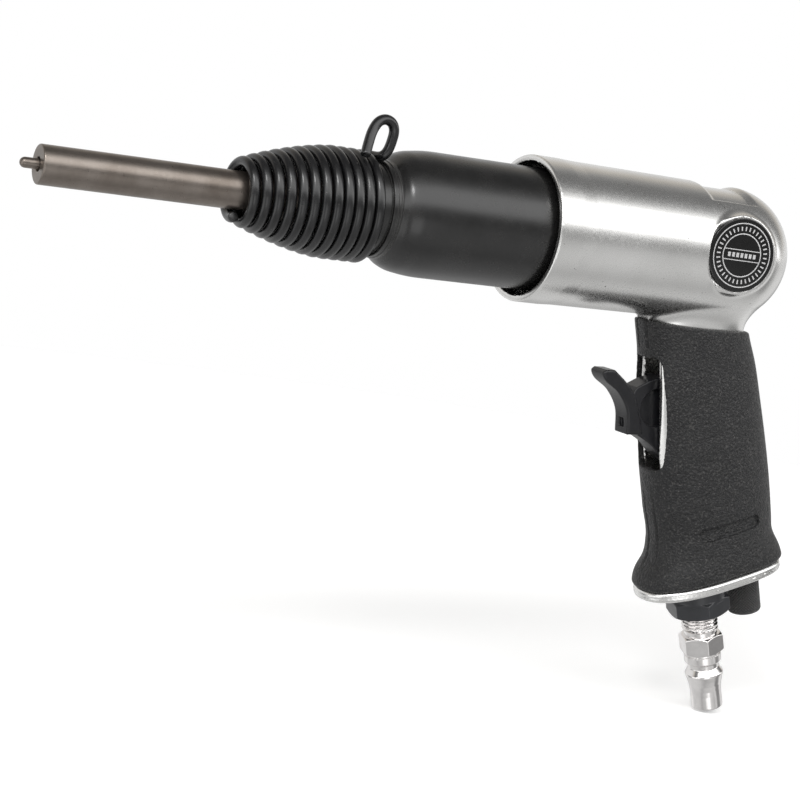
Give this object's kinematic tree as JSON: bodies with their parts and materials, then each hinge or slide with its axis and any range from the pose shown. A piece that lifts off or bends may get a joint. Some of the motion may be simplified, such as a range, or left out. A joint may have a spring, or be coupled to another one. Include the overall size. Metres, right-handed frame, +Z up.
{
  "type": "pneumatic rivet gun",
  "caption": "Pistol-grip pneumatic rivet gun with a beehive retainer spring, straight rivet set, lever trigger, air regulator and quick-connect air plug.",
  "frame": {"origin": "centre of the rivet set's working face, on the barrel's axis", "axes": "+X along the barrel's axis from the muzzle back to the head, +Z up, handle towards -Z, -Y on the gun's left side, the badge's side"},
  "size_m": [0.2932, 0.048, 0.1927],
  "materials": {
    "cast_aluminium": "satin brushed casting",
    "black_steel": "satin black oxide",
    "spring_steel": "semi-gloss black oxide",
    "tool_steel": "dull turned steel",
    "hard_steel": "ground",
    "grip_rubber": "pebbled",
    "trigger_plastic": "satin",
    "knurled_black": "black, diamond knurl",
    "bush_black": "black oxide",
    "plug_nickel": "bright plated",
    "badge_black": "gloss black with silver rings",
    "brass": "turned",
    "seal_rubber": "smooth"
  },
  "bodies": {
    "gun_body": {"housing": "cast_aluminium", "barrel": "black_steel", "barrel_oring": "seal_rubber", "retainer_spring": "spring_steel", "valve_case": "hard_steel", "valve_cap": "hard_steel", "valve_dowels": "hard_steel", "valve_washer": "hard_steel", "badge": "badge_black", "grip_sleeve": "grip_rubber", "trigger_pin": "hard_steel", "throttle_bush": "brass", "throttle_spring": "hard_steel", "throttle_plug": "brass", "regulator_pin": "hard_steel", "inlet_bushing": "bush_black", "inlet_oring": "seal_rubber", "inlet_screen": "brass", "air_plug": "plug_nickel"},
    "set": {"rivet_set": "tool_steel", "pilot_pin": "hard_steel"},
    "piston": {"piston": "hard_steel"},
    "valve": {"valve_spool": "hard_steel"},
    "trigger": {"trigger": "trigger_plastic"},
    "throttle": {"throttle_stem": "hard_steel", "throttle_seal": "seal_rubber"},
    "regulator": {"regulator_knob": "knurled_black", "regulator_oring": "seal_rubber"}
  },
  "joints": [
    {"name": "set_slide", "type": "slide", "parent": "gun_body", "child": "set", "axis": [-1, 0, 0], "range_m": [0, 0.008]},
    {"name": "piston_stroke", "type": "slide", "parent": "gun_body", "child": "piston", "axis": [-1, 0, 0], "range_m": [0, 0.0405]},
    {"name": "valve_shift", "type": "slide", "parent": "gun_body", "child": "valve", "axis": [-1, 0, 0], "range_m": [0, 0.002]},
    {"name": "trigger_pull", "type": "hinge", "parent": "gun_body", "child": "trigger", "pos_m": [0.23851, 0, -0.07105], "axis": [0, 1, 0], "range_deg": [0, 9]},
    {"name": "throttle_lift", "type": "slide", "parent": "gun_body", "child": "throttle", "axis": [0.9523, 0, 0.305], "range_m": [0, 0.0031], "deforming": ["throttle_spring"]},
    {"name": "regulator_turn", "type": "hinge", "parent": "gun_body", "child": "regulator", "pos_m": [0.27951, 0, -0.11776], "axis": [0.305, 0, -0.9523], "continuous": true}
  ],
  "couplings": [
    {"joint": "throttle_lift", "follows": "trigger_pull", "m_per_rad": 0.0194}
  ]
}
